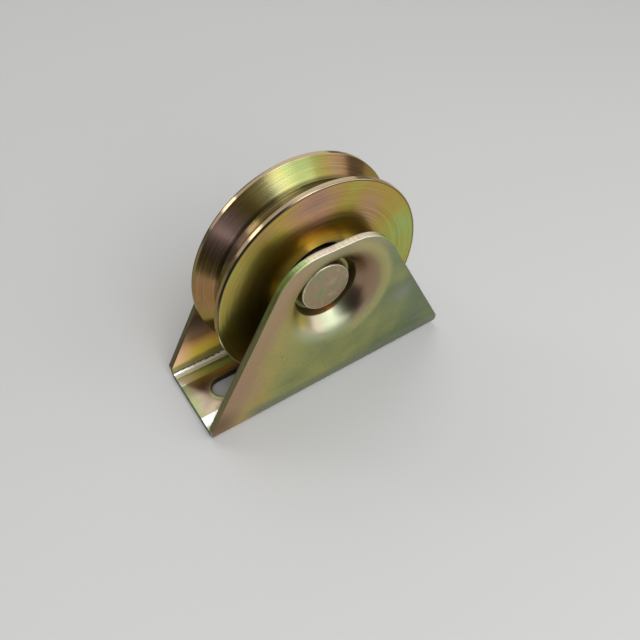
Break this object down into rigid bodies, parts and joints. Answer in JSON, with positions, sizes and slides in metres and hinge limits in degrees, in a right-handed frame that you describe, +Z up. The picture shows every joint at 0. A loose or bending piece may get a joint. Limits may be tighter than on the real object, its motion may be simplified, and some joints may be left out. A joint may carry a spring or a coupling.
{
  "type": "sliding gate wheel",
  "caption": "V-grooved steel roller on a sealed ball bearing, riveted between the dished cheeks of a folded steel bracket whose slotted base bolts under a sliding gate.",
  "frame": {"origin": "middle of the underside of the bracket's base", "axes": "+X along the bracket and the travel, +Y along the axle towards its upset end, +Z up from the base"},
  "size_m": [0.103, 0.036, 0.085],
  "materials": {
    "bracket_plate": "satin yellow zinc",
    "wheel_steel": "turned, yellow zinc",
    "axle_steel": "satin yellow zinc",
    "spring_steel": "dark phosphate",
    "bearing_steel": "ground",
    "ball_steel": "polished",
    "seal_rubber": "matt",
    "cage_nylon": "matt"
  },
  "bodies": {
    "bracket": {"bracket": "bracket_plate", "axle_rivet": "axle_steel", "bearing_inner_ring": "bearing_steel"},
    "wheel": {"wheel": "wheel_steel", "bearing_outer_ring": "bearing_steel", "bearing_seal_front": "seal_rubber", "bearing_seal_rear": "seal_rubber", "retaining_ring": "spring_steel"},
    "ball_cage": {"ball_cage": "cage_nylon", "bearing_ball_1": "ball_steel", "bearing_ball_2": "ball_steel", "bearing_ball_3": "ball_steel", "bearing_ball_4": "ball_steel", "bearing_ball_5": "ball_steel", "bearing_ball_6": "ball_steel", "bearing_ball_7": "ball_steel", "bearing_ball_8": "ball_steel"}
  },
  "joints": [
    {"name": "wheel_spin", "type": "hinge", "parent": "bracket", "child": "wheel", "pos_m": [0, 0, 0.045], "axis": [0, 1, 0], "continuous": true},
    {"name": "cage_spin", "type": "hinge", "parent": "bracket", "child": "ball_cage", "pos_m": [0, 0, 0.045], "axis": [0, 1, 0], "continuous": true}
  ],
  "couplings": [
    {"joint": "cage_spin", "follows": "wheel_spin", "ratio": 0.61906}
  ]
}
